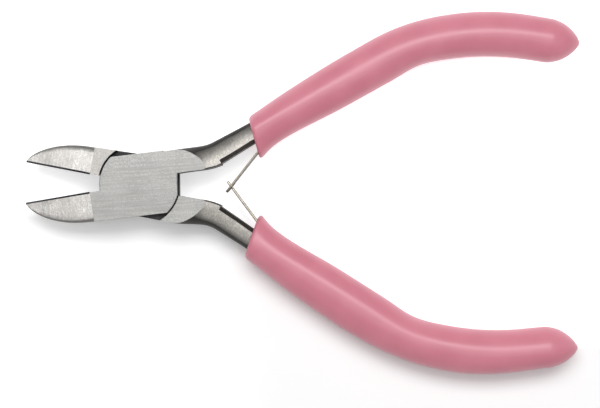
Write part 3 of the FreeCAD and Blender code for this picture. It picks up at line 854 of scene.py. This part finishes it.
class PLIERS_OT_stage(bpy.types.Operator):
    """Lays the tool on pale paper under soft light, with the camera straight above it"""

    bl_idname = "pliers.stage"
    bl_label = "Stage"

    def execute(self, context):
        scene = context.scene
        stage = scene.pliers_stage
        low, high = Vector(cad_box[0]), Vector(cad_box[1])
        mid = (low + high) / 2
        bm = bmesh.new()
        bmesh.ops.create_grid(bm, x_segments=2, y_segments=2, size=3.0)
        bmesh.ops.translate(bm, verts=bm.verts, vec=(mid.x, mid.y, low.z))
        paper, tree, shader = material("Pale Paper")
        where = tree.add("ShaderNodeTexCoord").outputs["Object"]
        tone = tuple(stage.floor)
        tree.feed(
            shader, "Base Color",
            tree.mix(tree.span(tree.noise(where, 40.0), 0.3, 0.7), scaled(tone, 0.995), scaled(tone, 1.005)),
        )
        shader.inputs["Roughness"].default_value = 0.9
        shader.inputs["Specular IOR Level"].default_value = 0.0
        ahead = tree.add("ShaderNodeSeparateXYZ", Vector=where)
        slope = tree.maths("ADD", tree.maths("MULTIPLY", ahead.outputs["X"], OPEN_SLOPE), OPEN_START)
        slope = tree.maths("MAXIMUM", tree.maths("MINIMUM", slope, OPEN_HIGH), OPEN_LOW)
        open_side = tree.maths("SUBTRACT", ahead.outputs["Y"], slope)
        # Painted light under the tool: the paper glows more under the jaws than under the handles, which
        # lightens the shadows under the jaws.
        painted_light_below = tree.mix(
            tree.span(ahead.outputs["X"], 0.0, 0.03), (stage.paper_painted_light * 1.25,) * 3, (stage.paper_painted_light * 0.2,) * 3
        )
        # Painted light: the paper glows much brighter on the open side of the line, which clears the shadows
        # between the jaws and between the handles.
        tree.feed(
            shader, "Emission Color",
            tree.mix(tree.span(open_side, -OPEN_SOFT, OPEN_SOFT), painted_light_below, (stage.open_painted_light,) * 3),
        )
        shader.inputs["Emission Strength"].default_value = 1.0
        floor = finish_mesh(bm, "Paper", [paper])

        aim = Vector((stage.aim[0], stage.aim[1], scene.pliers_steel.thickness / 2))
        data = bpy.data.cameras.new("Camera")
        data.sensor_width = 36.0
        data.lens = data.sensor_width * stage.distance / stage.frame_width
        data.clip_start, data.clip_end = 0.01, 20.0
        data.dof.use_dof = False
        camera = bpy.data.objects.new("Camera", data)
        camera.location = aim + UP * stage.distance
        camera.rotation_euler = (0.0, 0.0, stage.roll)
        scene.collection.objects.link(camera)
        scene.camera = camera

        nodes = frame["nodes"]
        halves = [bpy.data.objects[name] for name in ("Box_Half", "Inner_Half")]
        leaves = [bpy.data.objects[name] for name in ("Lower_Leaf", "Upper_Leaf")]
        sleeves = [bpy.data.objects[name] for name in ("Lower_Sleeve", "Upper_Sleeve")]
        fittings = [nodes[name] for name in ("pivot_rivet", "upper_spring_screw", "lower_spring_screw")]
        steelwork = gathered("Steelwork", halves + leaves + fittings)
        the_tool = gathered("The Tool", halves + leaves + fittings + sleeves)
        shading = gathered("Shades The Paper", halves + leaves[:1] + sleeves[:1])
        the_paper = gathered("The Paper", [floor])
        for name, place, size, power, receivers, blockers in (
            ("Key", (0.03, 0.20, 0.62), (0.60, 0.14), 2.4, the_tool, None),
            ("Shade", (0.03, 0.29, 0.58), (0.60, 0.24), 2.8, the_paper, shading),
            ("Top", (0.03, 0.02, 0.80), (0.80, 0.50), 2.0, None, None),
            ("Steel Fill", (0.03, -0.45, 0.35), (0.60, 0.30), 0.9, steelwork, None),
        ):
            lamp = area_light(name, place, size, power)
            if receivers:
                lamp.light_linking.receiver_collection = receivers
            if blockers:
                lamp.light_linking.blocker_collection = blockers
        world = bpy.data.worlds.new("Studio")
        world.use_nodes = True
        background = next(n for n in world.node_tree.nodes if n.type == "BACKGROUND")
        background.inputs["Color"].default_value = (1.0, 1.0, 1.0, 1.0)
        background.inputs["Strength"].default_value = 0.3
        scene.world = world
        scene.view_settings.view_transform = "Standard"
        return {"FINISHED"}


class PLIERS_PT_pliers(bpy.types.Panel):
    """Lists the pieces in the order they are made"""

    bl_label = "Side-Cutting Pliers"
    bl_idname = "PLIERS_PT_pliers"
    bl_space_type = "VIEW_3D"
    bl_region_type = "UI"
    bl_category = "Pliers"

    def draw(self, context):
        for group, operator in (
            ("pliers_steel", "pliers.forged_halves"),
            ("pliers_leaf", "pliers.leaf_springs"),
            ("pliers_sleeve", "pliers.sleeve_grips"),
            ("pliers_stage", "pliers.stage"),
        ):
            box = self.layout.box()
            settings = getattr(context.scene, group)
            for name in type(settings).__annotations__:
                box.prop(settings, name)
            box.operator(operator)


GROUPS = {
    "pliers_steel": SteelSettings,
    "pliers_sleeve": SleeveSettings,
    "pliers_leaf": LeafSettings,
    "pliers_stage": StageSettings,
}
CLASSES = (
    *GROUPS.values(), PLIERS_OT_forged_halves, PLIERS_OT_leaf_springs, PLIERS_OT_sleeve_grips,
    PLIERS_OT_stage, PLIERS_PT_pliers,
)


def register():
    for cls in CLASSES:
        bpy.utils.register_class(cls)
    for name, group in GROUPS.items():
        setattr(bpy.types.Scene, name, bpy.props.PointerProperty(type=group))


def unregister():
    for name in GROUPS:
        delattr(bpy.types.Scene, name)
    for cls in reversed(CLASSES):
        bpy.utils.unregister_class(cls)


def main():
    register()
    bpy.ops.pliers.forged_halves()
    bpy.ops.pliers.leaf_springs()
    bpy.ops.pliers.sleeve_grips()
    bpy.ops.pliers.stage()


if __name__ == "__main__":
    main()
